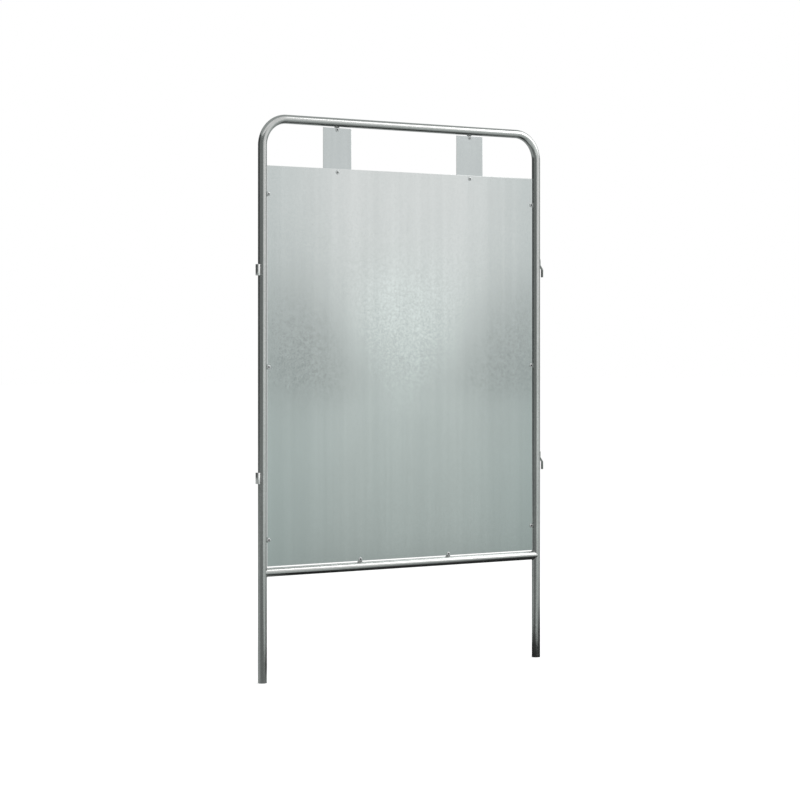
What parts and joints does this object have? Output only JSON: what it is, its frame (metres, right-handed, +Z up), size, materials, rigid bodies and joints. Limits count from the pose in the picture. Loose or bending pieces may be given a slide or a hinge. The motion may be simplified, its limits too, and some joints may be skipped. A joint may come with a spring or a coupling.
{
  "type": "poster board",
  "caption": "Outdoor board for posters: flat steel sheet riveted in a bent tube frame on two bare legs, with hooks and keepers that link boards in a row.",
  "frame": {"origin": "on the ground, midway between the axes of the two legs", "axes": "+X along the board towards the leg with the hooks, +Y to the back, away from the poster side, +Z up"},
  "size_m": [1.3499, 0.0337, 2.1274],
  "materials": {
    "tube": "galvanised steel tube, smooth zinc with faint spangle and lengthwise drawing lines",
    "sheet": "galvanised steel sheet, matt zinc with fine spangle, faint upright streaks and scuffs",
    "plate": "galvanised steel sheet, matt zinc with fine spangle",
    "lug": "galvanised flat steel, matt",
    "strap": "galvanised bent flat steel, matt, with rubbed edges",
    "rivet": "plain aluminium, satin",
    "mandrel": "bare steel, dull, broken off",
    "weld": "zinc-coated weld bead, rippled and dull"
  },
  "bodies": {
    "root": {"frame_tube": "tube", "rail_tube": "tube", "panel_sheet": "sheet", "left_top_plate": "plate", "right_top_plate": "plate", "left_upper_lug": "lug", "left_middle_lug": "lug", "left_lower_lug": "lug", "right_upper_lug": "lug", "right_middle_lug": "lug", "right_lower_lug": "lug", "left_bottom_lug": "lug", "right_bottom_lug": "lug", "left_top_lug": "lug", "right_top_lug": "lug", "upper_keeper": "strap", "lower_keeper": "strap", "upper_hook": "strap", "lower_hook": "strap", "side_rivets": "rivet", "bottom_rivets": "rivet", "plate_top_rivets": "rivet", "sheet_top_rivets": "rivet", "rivet_mandrels": "mandrel", "rail_welds": "weld", "side_lug_welds": "weld", "bottom_lug_welds": "weld", "top_lug_welds": "weld", "keeper_welds": "weld", "hook_welds": "weld"}
  },
  "joints": []
}
